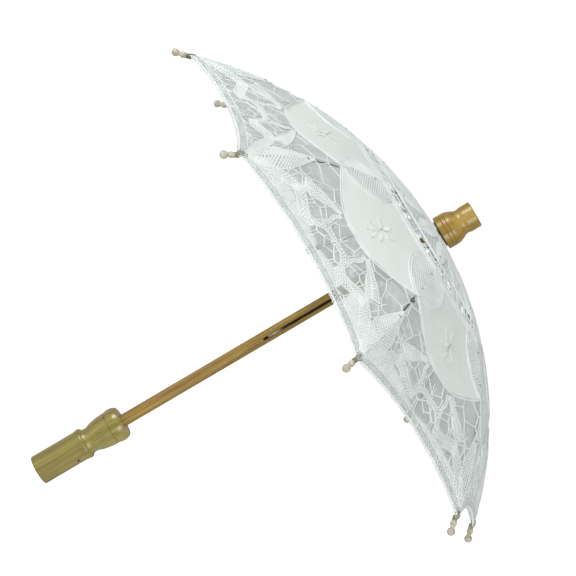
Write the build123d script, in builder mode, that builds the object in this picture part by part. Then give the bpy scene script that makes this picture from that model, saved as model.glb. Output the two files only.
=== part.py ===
from build123d import *
from math import asin, cos, degrees, hypot, radians, sin, sqrt
import os

# A small lace parasol, standing upright on its handle and open.
# Millimetres. +Z runs up the shaft to the finial, the origin is the centre of the handle's flat bottom.
# The front, where the catch stands out of the shaft, faces -Y. Rib 1 is over the catch.

# ---- driving dimensions ----------------------------------------------------
rib_count = 8
rib_step = 360 / rib_count
front_angle = -90

shaft_r = 3.9
shaft_bottom_z = 12.0
shaft_top_z = 296.0

handle_height = 59.6
handle_grip_r = 9.3
handle_shoulder_r = 9.8
handle_cove_r = 7.9
handle_bell_r = 10.3
handle_bead_r = 10.8
handle_swell_r = 9.9
handle_end_r = 8.9
handle_edge = 0.8
handle_grip_top_z = 29.0
handle_shoulder_z = 32.4
handle_cove_z = 37.2
handle_swell_z = 45.4
handle_groove_z = 51.4
handle_bead_z = 55.2
incision = 0.35

brad_z = 25.2
brad_angle = -51.5
brad_shank_r = 0.55
brad_head_r = 0.9
brad_head_height = 0.6
brad_outer_r = 9.15
brad_tip_r = 1.6

crown_z = 280.2
canopy_arc_r = 232.0
canopy_thickness = 0.6
canopy_hole_r = 5.0
canopy_corner_r = 168.0
canopy_scallop = 6.0
seam_gap = 0.2

rib_wire_r = 0.6
rib_under_canopy = 1.75
rib_start_r = 24.0
rib_bend_r = 60.0
rib_end_slope = 42.6
tip_straight = 24.0

pivot_r = 7.5
eye_r = 1.25
eye_width = 1.3
eye_hole_r = 0.5
ring_wire_r = 0.45
ring_groove_clearance = 0.02
slot_width = 1.9
slot_root_r = 5.8
crown_disc_r = 9.2

joint_on_rib_r = 86.0
joint_drop = 2.3
strut_flat_thickness = 0.6
strut_flat_height = 1.5
strut_flat_length = 4.6
strut_hole_r = 0.45
rivet_r = 0.4
rivet_head_r = 0.75
rivet_head_height = 0.35
clip_width = 2.2
clip_length = 4.4
clip_top = 1.05

tip_length = 20.0
tip_ball_r = 2.4
tip_bore_depth = 11.0
tip_sleeve_r = 0.85

notch_below_pivot = 5.5
notch_above_pivot = 2.1

runner_bore_r = 3.95
runner_sleeve_r = 5.4
runner_foot_r = 6.5
runner_length = 20.6
runner_above_pivot = 3.2
runner_flange_height = 1.9

washer_r = 8.2
washer_bottom_z = 280.8
washer_height = 0.7

finial_top_z = 305.1
finial_base_r = 10.5
finial_hip_r = 8.7
finial_neck_r = 7.8
finial_top_r = 8.2
finial_edge = 0.9
finial_grooves = (3.5, 6.0)
finial_belly = 9.2
finial_hip = 11.6
finial_neck = 13.9
finial_collar = 16.6

catch_slot_bottom_z = 158.0
catch_slot_top_z = 232.0
catch_slot_width = 1.7
catch_slot_back_y = 2.0
catch_pivot_y = -1.9
catch_pivot_z = 162.0
catch_pin_r = 0.5
catch_pin_length = 6.4
catch_strip = 0.8
catch_width = 1.1
catch_bend_r = 0.6
catch_knee_y = -3.3
catch_back_y = -1.8
catch_nose_y = -5.9
catch_clearance = 0.3

# ---- derived geometry ------------------------------------------------------
canopy_centre_z = crown_z - canopy_arc_r
rib_arc_r = canopy_arc_r - rib_under_canopy
rib_angles = [front_angle + i * rib_step for i in range(rib_count)]
half_step = rib_step / 2

# The rib leaves its pivot level, then bends into the long arc under the canopy.
pivot_z = canopy_centre_z + sqrt(rib_arc_r**2 - rib_start_r**2)
bend_rise = pivot_z - rib_bend_r - canopy_centre_z
bend_centre_r = sqrt((rib_arc_r - rib_bend_r) ** 2 - bend_rise**2)
bend_slope = degrees(asin(bend_centre_r / (rib_arc_r - rib_bend_r)))

# The strut's joint on the rib, and the runner's pivot straight below the rib's pivot:
# the strut is as long as the joint is far from the rib's pivot, so the runner slides along the shaft.
joint_slope = asin(joint_on_rib_r / rib_arc_r)
clip_r = joint_on_rib_r
clip_z = canopy_centre_z + rib_arc_r * cos(joint_slope)
joint_r = clip_r - joint_drop * sin(joint_slope)
joint_z = clip_z - joint_drop * cos(joint_slope)
strut_length = hypot(joint_r - pivot_r, joint_z - pivot_z)
runner_pivot_z = 2 * joint_z - pivot_z

# The straight outer end of the rib, in the rib's own plane.
end_slope = radians(rib_end_slope)
straight_start_r = rib_arc_r * sin(end_slope)
straight_start_z = canopy_centre_z + rib_arc_r * cos(end_slope)
tip_start = tip_straight - tip_length
tip_start_r = straight_start_r + tip_start * cos(end_slope)
tip_start_z = straight_start_z - tip_start * sin(end_slope)

runner_top_z = runner_pivot_z + runner_above_pivot
runner_bottom_z = runner_top_z - runner_length
washer_top_z = washer_bottom_z + washer_height

os.makedirs("parts", exist_ok=True)


def save(part, label):
    """Label a finished piece and write it to its own file."""
    part.label = label
    export_step(part, f"parts/{label}.step")


# ---- handle, shaft and brad ------------------------------------------------
def brad_plane(radius):
    """A plane across the brad, facing out of the handle, at this distance from the shaft's axis."""
    angle = radians(brad_angle)
    outward = Vector(cos(angle), sin(angle), 0)
    return Plane(origin=outward * radius + Vector(0, 0, brad_z), z_dir=outward)


with BuildPart() as handle:
    edge_cut = handle_edge * (1 - sqrt(0.5))
    neck_r = handle_shoulder_r - 1.2
    neck_z = handle_shoulder_z + 1.9
    cove_end_r = handle_cove_r + 0.7
    cove_end_z = handle_cove_z + 2.4
    bead_start_z = handle_groove_z + incision - 0.05
    bead_end_r = handle_bead_r - 0.7
    bead_end_z = handle_height - 1.4
    with BuildSketch(Plane.XZ):
        with BuildLine():
            Line((0, 0), (handle_grip_r - handle_edge, 0))
            ThreePointArc(
                (handle_grip_r - handle_edge, 0),
                (handle_grip_r - edge_cut, edge_cut),
                (handle_grip_r, handle_edge),
            )
            Polyline(
                (handle_grip_r, handle_edge),
                (handle_grip_r, handle_grip_top_z),
                (handle_shoulder_r, handle_shoulder_z),
            )
            ThreePointArc(
                (handle_shoulder_r, handle_shoulder_z),
                (handle_shoulder_r - 0.4, handle_shoulder_z + 1.3),
                (neck_r, neck_z),
            )
            ThreePointArc((neck_r, neck_z), (handle_cove_r, handle_cove_z), (cove_end_r, cove_end_z))
            ThreePointArc(
                (cove_end_r, cove_end_z),
                (handle_swell_r, handle_swell_z),
                (handle_bell_r, handle_groove_z - incision + 0.05),
            )
            Polyline(
                (handle_bell_r, handle_groove_z - incision + 0.05),
                (handle_bell_r - incision, handle_groove_z),
                (handle_bell_r, bead_start_z),
            )
            ThreePointArc(
                (handle_bell_r, bead_start_z),
                (handle_bead_r, handle_bead_z),
                (bead_end_r, bead_end_z),
            )
            ThreePointArc(
                (bead_end_r, bead_end_z),
                (bead_end_r - 0.6, bead_end_z + 1.0),
                (handle_end_r, handle_height),
            )
            Polyline((handle_end_r, handle_height), (0, handle_height), (0, 0))
        make_face()
    revolve(axis=Axis.Z)
    with BuildSketch(Plane.XY.offset(shaft_bottom_z)):
        Circle(shaft_r)
    extrude(amount=handle_height - shaft_bottom_z, mode=Mode.SUBTRACT)
    with BuildSketch(brad_plane(0)):
        Circle(brad_shank_r)
    extrude(amount=brad_outer_r, mode=Mode.SUBTRACT)
    with BuildSketch(brad_plane(brad_outer_r - brad_head_height)):
        Circle(brad_head_r)
    extrude(amount=2, mode=Mode.SUBTRACT)
save(handle.part, "handle")

with BuildPart() as handle_brad:
    with BuildSketch(brad_plane(brad_tip_r)):
        Circle(brad_shank_r)
    extrude(amount=brad_outer_r - brad_tip_r)
    with BuildSketch(brad_plane(brad_outer_r - brad_head_height)):
        Circle(brad_head_r)
    extrude(amount=brad_head_height)
save(handle_brad.part, "handle_brad")

with BuildPart() as shaft:
    with BuildSketch(Plane.XY.offset(shaft_bottom_z)):
        Circle(shaft_r)
    extrude(amount=shaft_top_z - shaft_bottom_z)
    # The slot that the catch lies in.
    with BuildSketch(Plane.XZ.offset(-catch_slot_back_y)):
        with Locations((0, (catch_slot_bottom_z + catch_slot_top_z) / 2)):
            SlotOverall(catch_slot_top_z - catch_slot_bottom_z, catch_slot_width, rotation=90)
    extrude(amount=catch_slot_back_y + 2 * shaft_r, mode=Mode.SUBTRACT)
    with BuildSketch(Plane.YZ):
        with Locations((catch_pivot_y, catch_pivot_z)):
            Circle(catch_pin_r)
    extrude(amount=catch_pin_length / 2, both=True, mode=Mode.SUBTRACT)
    with BuildSketch(brad_plane(brad_tip_r)):
        Circle(brad_shank_r)
    extrude(amount=shaft_r, mode=Mode.SUBTRACT)
save(shaft.part, "shaft")

# ---- finial and washer -----------------------------------------------------
with BuildPart() as finial:
    base_z = washer_top_z
    low_groove_z, high_groove_z = (base_z + groove for groove in finial_grooves)
    belly_start_z = high_groove_z + incision - 0.05
    with BuildSketch(Plane.XZ):
        with BuildLine():
            Polyline(
                (0, base_z),
                (finial_base_r - incision, base_z),
                (finial_base_r, base_z + incision),
                (finial_base_r, low_groove_z - incision),
                (finial_base_r - incision, low_groove_z),
                (finial_base_r, low_groove_z + incision),
                (finial_base_r, high_groove_z - incision),
                (finial_base_r - incision, high_groove_z),
                (finial_base_r, belly_start_z),
            )
            ThreePointArc(
                (finial_base_r, belly_start_z),
                (finial_base_r - 0.75, base_z + finial_belly),
                (finial_hip_r, base_z + finial_hip),
            )
            ThreePointArc(
                (finial_hip_r, base_z + finial_hip),
                (finial_neck_r, base_z + finial_neck),
                (finial_top_r, base_z + finial_collar),
            )
            Line((finial_top_r, base_z + finial_collar), (finial_top_r, finial_top_z - finial_edge))
            ThreePointArc(
                (finial_top_r, finial_top_z - finial_edge),
                (finial_top_r - 0.3 * finial_edge, finial_top_z - 0.3 * finial_edge),
                (finial_top_r - finial_edge, finial_top_z),
            )
            Polyline((finial_top_r - finial_edge, finial_top_z), (0, finial_top_z), (0, base_z))
        make_face()
    revolve(axis=Axis.Z)
    with BuildSketch(Plane.XY.offset(base_z)):
        Circle(shaft_r)
    extrude(amount=shaft_top_z - base_z, mode=Mode.SUBTRACT)
save(finial.part, "finial")

with BuildPart() as crown_washer:
    with BuildSketch(Plane.XY.offset(washer_bottom_z)):
        Circle(washer_r)
        Circle(shaft_r, mode=Mode.SUBTRACT)
    extrude(amount=washer_height)
save(crown_washer.part, "crown_washer")


# ---- notch and runner, with their wire rings -------------------------------
def radial_slots(bottom_z, height):
    """Cut one slot for each rib or strut into the part that is being built."""
    for angle in rib_angles:
        out = Vector(1, 0, 0).rotate(Axis.Z, angle)
        with BuildSketch(Plane(origin=(0, 0, bottom_z), x_dir=out, z_dir=(0, 0, 1))) as slot:
            with Locations((slot_root_r, 0)):
                Rectangle(crown_disc_r, slot_width, align=(Align.MIN, Align.CENTER))
        extrude(slot.sketch, amount=height, mode=Mode.SUBTRACT)


def ring_groove(level):
    """Cut the groove that a wire ring lies in, around the outside."""
    with BuildSketch(Plane.XY.offset(level - ring_wire_r - ring_groove_clearance)) as groove:
        Circle(crown_disc_r + 1)
        Circle(pivot_r - ring_wire_r - ring_groove_clearance, mode=Mode.SUBTRACT)
    extrude(groove.sketch, amount=2 * (ring_wire_r + ring_groove_clearance), mode=Mode.SUBTRACT)


def wire_ring(level):
    """A closed wire ring through the eyes, at this height."""
    with BuildPart() as ring:
        with BuildSketch(Plane.XZ):
            with Locations((pivot_r, level)):
                Circle(ring_wire_r)
        revolve(axis=Axis.Z)
    return ring.part


with BuildPart() as top_notch:
    with BuildSketch(Plane.XY.offset(pivot_z - notch_below_pivot)):
        Circle(crown_disc_r)
        Circle(shaft_r, mode=Mode.SUBTRACT)
    extrude(amount=notch_below_pivot + notch_above_pivot)
    chamfer(top_notch.edges().filter_by(GeomType.CIRCLE).group_by(SortBy.RADIUS)[-1], length=0.5)
    ring_groove(pivot_z)
    radial_slots(pivot_z - notch_below_pivot, notch_below_pivot + notch_above_pivot)
save(top_notch.part, "top_notch")
save(wire_ring(pivot_z), "notch_ring")

with BuildPart() as runner:
    slot_bottom_z = runner_pivot_z - eye_r - 0.4
    flange_bottom_z = slot_bottom_z - runner_flange_height
    with BuildSketch(Plane.XZ):
        with BuildLine():
            Polyline(
                (runner_bore_r, runner_bottom_z),
                (runner_foot_r - 0.6, runner_bottom_z),
                (runner_foot_r, runner_bottom_z + 0.6),
                (runner_foot_r, runner_bottom_z + 2.2),
                (runner_sleeve_r, runner_bottom_z + 3.4),
                (runner_sleeve_r, flange_bottom_z - 2.4),
                (crown_disc_r, flange_bottom_z),
                (crown_disc_r, runner_top_z - 0.5),
                (crown_disc_r - 0.5, runner_top_z),
                (runner_bore_r, runner_top_z),
                close=True,
            )
        make_face()
    revolve(axis=Axis.Z)
    ring_groove(runner_pivot_z)
    radial_slots(slot_bottom_z, runner_top_z - slot_bottom_z)
save(runner.part, "runner")
save(wire_ring(runner_pivot_z), "runner_ring")

# ---- catch -----------------------------------------------------------------
nose_z = runner_bottom_z - catch_clearance
with BuildPart() as catch_spring:
    with BuildSketch(Plane.YZ):
        with BuildLine():
            FilletPolyline(
                (catch_pivot_y - 0.9, catch_pivot_z),
                (catch_knee_y, catch_pivot_z + 2.5),
                (catch_knee_y, catch_pivot_z + 11),
                (catch_back_y, catch_pivot_z + 18),
                (catch_back_y, catch_pivot_z + 42),
                (catch_nose_y, nose_z - catch_strip / 2),
                (-catch_slot_back_y, nose_z - catch_strip / 2),
                (-catch_slot_back_y, nose_z + 3),
                radius=catch_bend_r,
            )
        trace(line_width=catch_strip)
        with Locations((catch_pivot_y, catch_pivot_z)):
            Circle(eye_r)
            Circle(catch_pin_r + 0.05, mode=Mode.SUBTRACT)
    extrude(amount=catch_width / 2, both=True)
save(catch_spring.part, "catch_spring")

with BuildPart() as catch_pin:
    with BuildSketch(Plane.YZ):
        with Locations((catch_pivot_y, catch_pivot_z)):
            Circle(catch_pin_r)
    extrude(amount=catch_pin_length / 2, both=True)
save(catch_pin.part, "catch_pin")


# ---- ribs, struts and canopy, drawn with the rib along +X -------------------
def rib_plane(r, z, direction):
    """The rib's own upright plane, with its first axis along a direction given as (out, up)."""
    return Plane(origin=(r, 0, z), x_dir=(direction[0], 0, direction[1]), z_dir=(0, -1, 0))


along_clip = (cos(joint_slope), -sin(joint_slope))
along_end = (cos(end_slope), -sin(end_slope))
along_strut = ((pivot_r - joint_r) / strut_length, (runner_pivot_z - joint_z) / strut_length)


def eye(plane, width, hole_r):
    """Add a round eye with a hole at the plane's origin."""
    with BuildSketch(plane) as disc:
        Circle(eye_r)
    extrude(disc.sketch, amount=width / 2, both=True)
    with BuildSketch(plane) as hole:
        Circle(hole_r)
    extrude(hole.sketch, amount=width, both=True, mode=Mode.SUBTRACT)


def make_rib():
    """A wire rib: level at the pivot, a long arc, and a straight end for the tip."""
    with BuildPart() as rib:
        with BuildLine(Plane.XZ) as path:
            level = Line((pivot_r + eye_r - 0.3, pivot_z), (bend_centre_r, pivot_z))
            bend = JernArc(level @ 1, (1, 0), rib_bend_r, -bend_slope)
            arc = JernArc(bend @ 1, bend % 1, rib_arc_r, bend_slope - rib_end_slope)
            Line(arc @ 1, arc @ 1 + (arc % 1) * (tip_start + tip_bore_depth))
        with BuildSketch(Plane(origin=path.line @ 0, z_dir=path.line % 0)):
            Circle(rib_wire_r)
        sweep()
        eye(rib_plane(pivot_r, pivot_z, (1, 0)), eye_width, eye_hole_r)
    return rib.part


def make_tip():
    """A turned tip: a slim sleeve over the rib's end, a collar with a thread hole, and a ball."""
    plane = rib_plane(tip_start_r, tip_start_z, along_end)
    collar = 15.2
    collar_r = 1.95
    neck = collar - 2
    neck_r = 1.1
    throat = collar + 1.6
    throat_r = 1.35
    throat_end = tip_length - sqrt(tip_ball_r**2 - throat_r**2)
    with BuildPart() as tip:
        with BuildSketch(plane):
            with BuildLine():
                Polyline((0, 0), (0, tip_sleeve_r), (tip_bore_depth, tip_sleeve_r + 0.05), (neck, neck_r))
                ThreePointArc((neck, neck_r), (collar, collar_r), (throat, throat_r))
                Line((throat, throat_r), (throat_end, throat_r))
                ThreePointArc((throat_end, throat_r), (tip_length, tip_ball_r), (tip_length + tip_ball_r, 0))
                Line((tip_length + tip_ball_r, 0), (0, 0))
            make_face()
        revolve(axis=Axis(plane.origin, plane.x_dir))
        with BuildSketch(Plane(origin=plane.origin, z_dir=plane.x_dir)):
            Circle(rib_wire_r)
        extrude(amount=tip_bore_depth, mode=Mode.SUBTRACT)
        with BuildSketch(plane):
            with Locations((collar - 2.6, 0)):
                Circle(0.35)
        extrude(amount=3, both=True, mode=Mode.SUBTRACT)
    return tip.part


def make_clip():
    """A saddle clip folded over the rib, with two cheeks that hold the strut's end."""
    side = rib_plane(clip_r, clip_z, along_clip)
    across = Plane(origin=side.origin, x_dir=(0, 1, 0), z_dir=side.x_dir)
    with BuildPart() as clip:
        with BuildSketch(side):
            with Locations((0, clip_top)):
                Rectangle(clip_length, 2 * clip_top, align=(Align.CENTER, Align.MAX))
                Rectangle(2 * eye_r, clip_top + joint_drop, align=(Align.CENTER, Align.MAX))
            with Locations((0, -joint_drop)):
                Circle(eye_r)
        extrude(amount=clip_width / 2, both=True)
        with BuildSketch(across):
            Circle(rib_wire_r)
            Rectangle(2 * rib_wire_r, 3 * joint_drop, align=(Align.CENTER, Align.MAX))
        extrude(amount=clip_length, both=True, mode=Mode.SUBTRACT)
        with BuildSketch(side):
            with Locations((0, -joint_drop)):
                Circle(rivet_r)
        extrude(amount=clip_width, both=True, mode=Mode.SUBTRACT)
    return clip.part


def make_rivet():
    """The rivet through the clip's cheeks and the strut's eye."""
    plane = rib_plane(joint_r, joint_z, along_clip)
    with BuildPart() as rivet:
        with BuildSketch(plane):
            Circle(rivet_r)
        extrude(amount=clip_width / 2, both=True)
        for side in (-1, 1):
            with BuildSketch(plane.offset(side * clip_width / 2)):
                Circle(rivet_head_r)
            extrude(amount=side * rivet_head_height)
    return rivet.part


def make_strut():
    """A wire strut, flattened where it enters the clip, with an eye at each end."""
    plane = rib_plane(joint_r, joint_z, along_strut)
    far_plane = rib_plane(pivot_r, runner_pivot_z, along_strut)
    wire_start = strut_flat_length - rib_wire_r
    wire_end = strut_length - eye_r + 0.3
    with BuildPart() as strut:
        with BuildSketch(Plane(origin=plane.origin + plane.x_dir * wire_start, z_dir=plane.x_dir)):
            Circle(rib_wire_r)
        extrude(amount=wire_end - wire_start)
        with BuildSketch(plane):
            Rectangle(strut_flat_length, strut_flat_height, align=(Align.MIN, Align.CENTER))
        extrude(amount=strut_flat_thickness / 2, both=True)
        eye(plane, strut_flat_thickness, strut_hole_r)
        eye(far_plane, eye_width, eye_hole_r)
    return strut.part


def make_sector():
    """The piece of canopy that one rib carries: half a gore each side, straight across between the ribs."""
    across = half_step
    mid = Vector(cos(radians(across)), sin(radians(across)), 0)
    to_rib = Vector(sin(radians(across)), -cos(radians(across)), 0)
    squeeze = cos(radians(across))
    corner_half = canopy_corner_r * sin(radians(across))
    scallop_r = (corner_half**2 + canopy_scallop**2) / (2 * canopy_scallop)
    scallop_centre = canopy_corner_r * squeeze - canopy_scallop + scallop_r
    with BuildPart() as sector:
        with BuildSketch(Plane(origin=to_rib * (seam_gap / 2), x_dir=mid, z_dir=to_rib)):
            with Locations((0, canopy_centre_z)):
                outer = canopy_arc_r + canopy_thickness / 2
                inner = canopy_arc_r - canopy_thickness / 2
                Ellipse(outer * squeeze, outer)
                Ellipse(inner * squeeze, inner, mode=Mode.SUBTRACT)
            with Locations((canopy_hole_r / 2, canopy_centre_z + canopy_arc_r * 0.5)):
                Rectangle(canopy_corner_r, canopy_arc_r, align=(Align.MIN, Align.MIN), mode=Mode.INTERSECT)
        extrude(amount=corner_half + 2)
        split(bisect_by=Plane.XZ, keep=Keep.BOTTOM)
        with BuildSketch(Plane.XY):
            with Locations((mid.X * scallop_centre, mid.Y * scallop_centre)):
                Circle(scallop_r)
            Circle(canopy_hole_r)
        extrude(amount=finial_top_z, mode=Mode.SUBTRACT)
        mirror(about=Plane.XZ)
    return sector.part


def save_around(part, label):
    """Write one copy of a piece for each rib, numbered from the front."""
    for number, angle in enumerate(rib_angles, start=1):
        save(part.rotate(Axis.Z, angle), f"{label}_{number}")


save_around(make_rib(), "rib")
save_around(make_tip(), "rib_tip")
save_around(make_clip(), "rib_clip")
save_around(make_rivet(), "rib_rivet")
save_around(make_strut(), "strut")
save_around(make_sector(), "canopy_sector")
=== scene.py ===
import math

import bpy
import numpy as np
from mathutils import Matrix, Vector, noise
from mathutils.geometry import delaunay_2d_cdt


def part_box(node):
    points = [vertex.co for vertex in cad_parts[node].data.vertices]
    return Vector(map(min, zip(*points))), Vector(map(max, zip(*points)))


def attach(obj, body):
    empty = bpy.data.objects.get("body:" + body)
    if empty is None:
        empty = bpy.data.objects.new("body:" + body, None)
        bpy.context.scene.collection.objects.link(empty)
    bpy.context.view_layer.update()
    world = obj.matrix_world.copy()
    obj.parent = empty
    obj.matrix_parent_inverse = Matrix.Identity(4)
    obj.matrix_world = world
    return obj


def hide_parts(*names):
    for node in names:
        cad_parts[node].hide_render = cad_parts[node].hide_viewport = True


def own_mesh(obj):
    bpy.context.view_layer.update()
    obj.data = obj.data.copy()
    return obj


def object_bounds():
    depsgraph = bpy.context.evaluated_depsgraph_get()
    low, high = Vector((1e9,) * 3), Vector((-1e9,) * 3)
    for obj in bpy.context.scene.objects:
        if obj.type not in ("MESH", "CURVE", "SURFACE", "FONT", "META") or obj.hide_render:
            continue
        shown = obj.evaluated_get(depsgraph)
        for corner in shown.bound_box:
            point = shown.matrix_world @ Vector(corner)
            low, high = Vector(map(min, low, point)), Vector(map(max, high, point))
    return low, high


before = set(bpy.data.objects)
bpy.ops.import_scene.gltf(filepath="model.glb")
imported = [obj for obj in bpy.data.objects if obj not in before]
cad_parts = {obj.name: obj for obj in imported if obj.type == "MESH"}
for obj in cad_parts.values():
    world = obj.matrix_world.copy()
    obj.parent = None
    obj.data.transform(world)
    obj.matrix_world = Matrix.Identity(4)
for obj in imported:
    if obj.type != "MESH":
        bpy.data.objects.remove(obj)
cad_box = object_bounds()

# The lace parasol. Blender works in metres; the canopy's lace is drawn flat in mm and then wrapped.
MM = 0.001
RIB_COUNT = 8
RIB_STEP = 2 * math.pi / RIB_COUNT
HALF_STEP = RIB_STEP / 2
FRONT_ANGLE = -math.pi / 2

# A fixed seed, so that the lace's open cells come out the same in every run.
NOISE_SEED = 3
noise.seed_set(NOISE_SEED)

# ---- the canopy's surface, in mm ---------------------------------------------
# Between two ribs the cloth is straight across, so half a gore can be cut flat:
# u runs from the gore's mid-line to the rib, v runs from the crown down the mid-line.
ARC_RADIUS = 232.0
CORNER_RADIUS = 168.0
SCALLOP = 6.0
CLOTH_UNDER_WASHER = 0.6
CROWN_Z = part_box("crown_washer")[0].z / MM - CLOTH_UNDER_WASHER
CENTRE_Z = CROWN_Z - ARC_RADIUS
INNER_EDGE = 5.2
SAG = 1.3

MID_A = ARC_RADIUS * math.cos(HALF_STEP)
MID_B = ARC_RADIUS
ANGLES = np.linspace(0, 1.0, 4001)
SPEEDS = np.hypot(MID_A * np.cos(ANGLES), MID_B * np.sin(ANGLES))
LENGTHS = np.concatenate([[0], np.cumsum((SPEEDS[1:] + SPEEDS[:-1]) / 2 * np.diff(ANGLES))])
CORNER_HALF = CORNER_RADIUS * math.sin(HALF_STEP)
SCALLOP_RADIUS = (CORNER_HALF**2 + SCALLOP**2) / (2 * SCALLOP)
SCALLOP_CENTRE = CORNER_RADIUS * math.cos(HALF_STEP) - SCALLOP + SCALLOP_RADIUS


def reach(v):
    """How far from the shaft's axis the gore's mid-line is at v."""
    return MID_A * np.sin(np.interp(v, LENGTHS, ANGLES))


def half_width(v):
    """u at the rib."""
    return reach(v) * math.tan(HALF_STEP)


def rim(u):
    """v at the scalloped edge."""
    out = SCALLOP_CENTRE - np.sqrt(SCALLOP_RADIUS**2 - np.square(u))
    return np.interp(np.arcsin(out / MID_A), ANGLES, LENGTHS)


def wrap(flat, rib, side):
    """Points (u, v, h) of half a gore, laid on the canopy beside this rib, in metres."""
    u, v, h = flat.T
    angle = np.interp(v, LENGTHS, ANGLES)
    out, up = MID_A * np.sin(angle), CENTRE_Z + MID_B * np.cos(angle)
    normal_out, normal_up = MID_B * np.sin(angle), MID_A * np.cos(angle)
    length = np.hypot(normal_out, normal_up)
    across = np.clip(u / np.maximum(out * math.tan(HALF_STEP), 0.01), 0, 1)
    slack = SAG * (1 - across**2) * np.clip(out / CORNER_RADIUS, 0, 1)
    lift = (h - slack) / length
    out, up = out + normal_out * lift, up + normal_up * lift
    middle = FRONT_ANGLE + rib * RIB_STEP + side * HALF_STEP
    x = out * math.cos(middle) + side * u * math.sin(middle)
    y = out * math.sin(middle) - side * u * math.cos(middle)
    return np.column_stack([x, y, up]) * MM


# ---- drawing thread, tape and cloth on half a gore ----------------------------
# Material slots.
THREAD, CORD, SATIN = 0, 1, 2

# Radii of thread in mm.
EDGE_CORD = 0.42
FINE_EDGE_CORD = 0.38
THIN_CORD = 0.36
TAPE_CORD = 0.34
TAPE_THREAD = 0.42
SATIN_THREAD = 0.29
FINE_THREAD = 0.26

# How the drawing is stepped and cut, in mm.
CUT_STEPS = 14
EDGE_MARGIN = 1e-6
SHORTEST_RUN = 0.15
CLEAR_STEP = 0.5
BAR_STEP = 2.0

# The tape: the distance between its crossing threads, the step between the points of each, how much
# they slant, and the levels of its edges and of the crossing threads.
TAPE_RUNG = 1.9
TAPE_STEP = 2.6
TAPE_SLANT = 0.55
TAPE_EDGE_LEVEL = 0.12
TAPE_RUNG_LEVEL = -0.05

# Satin stitch: its spacing, its base above the cloth and its rise in the middle.
SATIN_SPACING = 0.5
SATIN_BASE = 0.25
SATIN_RISE = 0.45

# Six-sided cells: the step between rows and between columns, and half an upright bar, as shares of a cell.
CELL_ROW = 0.75
CELL_COLUMN = 0.866
CELL_UPRIGHT = 0.25

# Plain cloth: the size of its undulations in mm, and how far its inner points stay off its outline.
RIPPLE = 0.16
INNER_SHARE = 0.965


class Drawing:
    """What is drawn on half a gore: points (u, v, h), faces, and a material slot for each face."""

    def __init__(self):
        self.points = []
        self.faces = []
        self.slots = []
        self.rounded = []
        self.count = 0

    def add(self, points, faces, slot, flat_faces=0):
        """Add faces in a material slot; the last flat_faces of them are shaded flat."""
        self.points.append(np.asarray(points, float))
        self.faces += [tuple(i + self.count for i in face) for face in faces]
        self.slots += [slot] * len(faces)
        self.rounded += [True] * (len(faces) - flat_faces) + [False] * flat_faces
        self.count += len(points)


def with_level(line, level=0.0):
    """A line of (u, v) or (u, v, h) points as (u, v, h), raised by level."""
    line = np.asarray(line, float)
    if line.shape[1] == 2:
        line = np.column_stack([line, np.zeros(len(line))])
    return line + np.array([0, 0, level])


def within(point):
    """How far a point is inside the half gore, at most."""
    u, v = point[0], point[1]
    return min(u + EDGE_MARGIN, half_width(v) - u + EDGE_MARGIN, v - INNER_EDGE)


def cut_between(inner, outer):
    """The point on the line from inner to outer where the half gore ends."""
    low, high = 0.0, 1.0
    for _ in range(CUT_STEPS):
        middle = (low + high) / 2
        if within(inner + (outer - inner) * middle) >= 0:
            low = middle
        else:
            high = middle
    return inner + (outer - inner) * low


def trimmed(line):
    """The stretches of a line that lie on the half gore."""
    runs, run = [], []
    keep = [within(point) >= 0 for point in line]
    for i, point in enumerate(line):
        if keep[i]:
            if i and not keep[i - 1]:
                run = [cut_between(point, line[i - 1])]
            run.append(point)
        elif run:
            run.append(cut_between(line[i - 1], point))
            runs.append(run)
            run = []
    if run:
        runs.append(run)
    return [np.array(run) for run in runs if np.linalg.norm(run[-1] - run[0]) > SHORTEST_RUN or len(run) > 3]


def smooth(guide, step=1.4):
    """A smooth line through a few guide points."""
    guide = np.asarray(guide, float)
    ends = np.vstack([2 * guide[0] - guide[1], guide, 2 * guide[-1] - guide[-2]])
    line = []
    for a, b, c, d in zip(ends[:-3], ends[1:-2], ends[2:-1], ends[3:]):
        count = max(1, int(round(np.linalg.norm(c - b) / step)))
        for t in np.arange(count) / count:
            square, cube = 2 * a - 5 * b + 4 * c - d, 3 * b - a - 3 * c + d
            line.append(0.5 * (2 * b + (c - a) * t + square * t**2 + cube * t**3))
    line.append(ends[-2])
    return np.array(line)


def tube_mesh(line, radius, side, up, sides):
    """Points and faces of a closed tube round a line, given its side and up directions."""
    angles = 2 * math.pi * np.arange(sides) / sides
    rings = (
        line[:, None, :]
        + side[:, None, :] * (np.cos(angles) * radius)[None, :, None]
        + up[:, None, :] * (np.sin(angles) * radius)[None, :, None]
    )
    faces = []
    for i in range(len(line) - 1):
        for j in range(sides):
            k = (j + 1) % sides
            faces.append((i * sides + j, i * sides + k, (i + 1) * sides + k, (i + 1) * sides + j))
    last = (len(line) - 1) * sides
    faces.append(tuple(range(sides))[::-1])
    faces.append(tuple(last + j for j in range(sides)))
    return rings.reshape(-1, 3), faces


def thread(drawing, line, radius, level=0.0, slot=THREAD, sides=4):
    """A thread along a line on the cloth, cut off where the half gore ends."""
    for run in trimmed(with_level(line, level)):
        along = np.gradient(run[:, :2], axis=0)
        along /= np.maximum(np.linalg.norm(along, axis=1), 1e-9)[:, None]
        side = np.column_stack([along[:, 1], -along[:, 0], np.zeros(len(run))])
        up = np.tile([0.0, 0.0, 1.0], (len(run), 1))
        points, faces = tube_mesh(run, radius, side, up, sides)
        drawing.add(points, faces, slot, flat_faces=2)


def offset(line, distance):
    """A line beside a line, to its right by distance, which may vary along it."""
    along = np.gradient(line, axis=0)
    along /= np.maximum(np.linalg.norm(along, axis=1), 1e-9)[:, None]
    return line + np.column_stack([along[:, 1], -along[:, 0]]) * np.reshape(distance, (-1, 1))


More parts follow.
